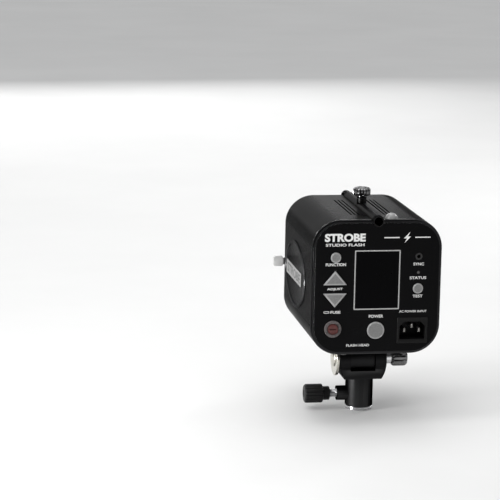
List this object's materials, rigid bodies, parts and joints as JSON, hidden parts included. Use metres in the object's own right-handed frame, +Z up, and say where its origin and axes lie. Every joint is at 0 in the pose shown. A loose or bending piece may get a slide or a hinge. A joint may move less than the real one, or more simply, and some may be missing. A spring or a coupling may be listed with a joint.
{
  "type": "monolight strobe",
  "caption": "Self-contained studio flash head with a rear control panel, ring flashtube, modelling lamp, umbrella holder and a tilting socket for a light stand.",
  "frame": {"origin": "centre of the stand socket's open mouth, on the socket's axis", "axes": "+Z up along the socket, +Y the way the flash fires at rest, +X to the right seen from behind"},
  "size_m": [0.1428, 0.1834, 0.2126],
  "materials": {
    "housing_paint": "satin",
    "panel_plastic": "satin",
    "panel_gloss": "gloss",
    "display_glass": "gloss",
    "button_grey": "satin",
    "switch_black": "matte",
    "circuit_board": "satin",
    "fuse_grey": "satin",
    "fuse_brown": "satin",
    "fuse_glass": "gloss",
    "inlet_black": "satin",
    "contact_metal": "polished",
    "dome_white": "gloss",
    "tube_steel": "satin",
    "knob_black": "gloss",
    "badge_metal": "satin",
    "bezel_black": "satin",
    "screw_black": "satin",
    "reflector_aluminium": "polished",
    "steel": "satin",
    "cap_grey": "satin",
    "frosted_glass": "satin",
    "ceramic": "matte",
    "capacitor_sleeve": "gloss",
    "heatsink_aluminium": "satin",
    "coil_copper": "satin",
    "cast_black": "gloss",
    "bright_plate": "satin",
    "chrome": "polished",
    "grip_black": "matte"
  },
  "bodies": {
    "mount": {"yoke": "cast_black", "tilt_end_plate": "bright_plate", "tilt_bolt": "bright_plate", "tilt_spacer": "chrome", "socket_tube": "cast_black", "socket_ring": "chrome"},
    "head": {"housing": "housing_paint", "rear_panel": "panel_plastic", "panel_overlay": "panel_gloss", "display_window": "display_glass", "display_module": "circuit_board", "power_switch": "switch_black", "tact_switches": "switch_black", "control_board": "circuit_board", "fuse_holder": "fuse_grey", "fuse": "fuse_glass", "power_inlet": "inlet_black", "inlet_pins": "contact_metal", "sync_jack": "switch_black", "status_led": "fuse_grey", "slave_dome": "dome_white", "umbrella_tube": "tube_steel", "badge_left": "badge_metal", "badge_right": "badge_metal", "front_bezel": "bezel_black", "front_screws": "screw_black", "reflector_dish": "reflector_aluminium", "flashtube": "frosted_glass", "flashtube_sockets": "ceramic", "modeling_lamp": "frosted_glass", "lamp_holder": "ceramic", "lamp_plate": "heatsink_aluminium", "capacitor_bank": "capacitor_sleeve", "power_board": "circuit_board", "heatsink": "heatsink_aluminium", "trigger_coil": "coil_copper", "fan_frame": "switch_black", "base_plate": "heatsink_aluminium", "tilt_lug": "cast_black", "lug_screws": "steel", "rear_screws": "screw_black"},
    "tilt_handle": {"tilt_knob": "knob_black"},
    "stand_handle": {"stand_knob": "grip_black", "stand_screw": "steel"},
    "umbrella_handle": {"umbrella_knob": "knob_black", "umbrella_screw": "steel"},
    "function_key": {"function_button": "button_grey"},
    "up_key": {"up_button": "button_grey"},
    "down_key": {"down_button": "button_grey"},
    "test_key": {"test_button": "button_grey"},
    "power_key": {"power_button": "button_grey"},
    "fuse_plug": {"fuse_cap": "fuse_brown"},
    "release_left": {"release_slide_left": "steel", "release_cap_left": "cap_grey", "release_springs_left": "steel"},
    "release_right": {"release_slide_right": "steel", "release_cap_right": "cap_grey", "release_springs_right": "steel"},
    "fan": {"fan_rotor": "switch_black"}
  },
  "joints": [
    {"name": "head_tilt", "type": "hinge", "parent": "mount", "child": "head", "pos_m": [0, 0, 0.0496], "axis": [1, 0, 0], "range_deg": [-85, 85]},
    {"name": "tilt_knob_turn", "type": "hinge", "parent": "mount", "child": "tilt_handle", "pos_m": [0.04, 0, 0.0496], "axis": [1, 0, 0], "range_deg": [0, 540]},
    {"name": "stand_knob_turn", "type": "hinge", "parent": "mount", "child": "stand_handle", "pos_m": [-0.045, 0, 0.015], "axis": [-1, 0, 0], "range_deg": [0, 720]},
    {"name": "umbrella_knob_turn", "type": "hinge", "parent": "head", "child": "umbrella_handle", "pos_m": [0, 0.011, 0.208], "axis": [0, 0, 1], "range_deg": [0, 720]},
    {"name": "function_press", "type": "slide", "parent": "head", "child": "function_key", "axis": [0, 1, 0], "range_m": [0, 0.001], "stiffness_N_per_m": 1500, "springref_m": -0.0005},
    {"name": "up_press", "type": "slide", "parent": "head", "child": "up_key", "axis": [0, 1, 0], "range_m": [0, 0.001], "stiffness_N_per_m": 1500, "springref_m": -0.0005},
    {"name": "down_press", "type": "slide", "parent": "head", "child": "down_key", "axis": [0, 1, 0], "range_m": [0, 0.001], "stiffness_N_per_m": 1500, "springref_m": -0.0005},
    {"name": "test_press", "type": "slide", "parent": "head", "child": "test_key", "axis": [0, 1, 0], "range_m": [0, 0.001], "stiffness_N_per_m": 1500, "springref_m": -0.0005},
    {"name": "power_press", "type": "slide", "parent": "head", "child": "power_key", "axis": [0, 1, 0], "range_m": [0, 0.0025], "stiffness_N_per_m": 900, "springref_m": -0.001},
    {"name": "fuse_cap_turn", "type": "hinge", "parent": "head", "child": "fuse_plug", "pos_m": [-0.0404, -0.062, 0.0932], "axis": [0, -1, 0], "range_deg": [0, 90]},
    {"name": "release_left_press", "type": "slide", "parent": "head", "child": "release_left", "axis": [1, 0, 0], "range_m": [0, 0.005], "stiffness_N_per_m": 1400, "springref_m": -0.004},
    {"name": "release_right_press", "type": "slide", "parent": "head", "child": "release_right", "axis": [-1, 0, 0], "range_m": [0, 0.005], "stiffness_N_per_m": 1400, "springref_m": -0.004},
    {"name": "fan_spin", "type": "hinge", "parent": "head", "child": "fan", "pos_m": [0, 0.036, 0.151], "axis": [0, 1, 0], "continuous": true}
  ]
}
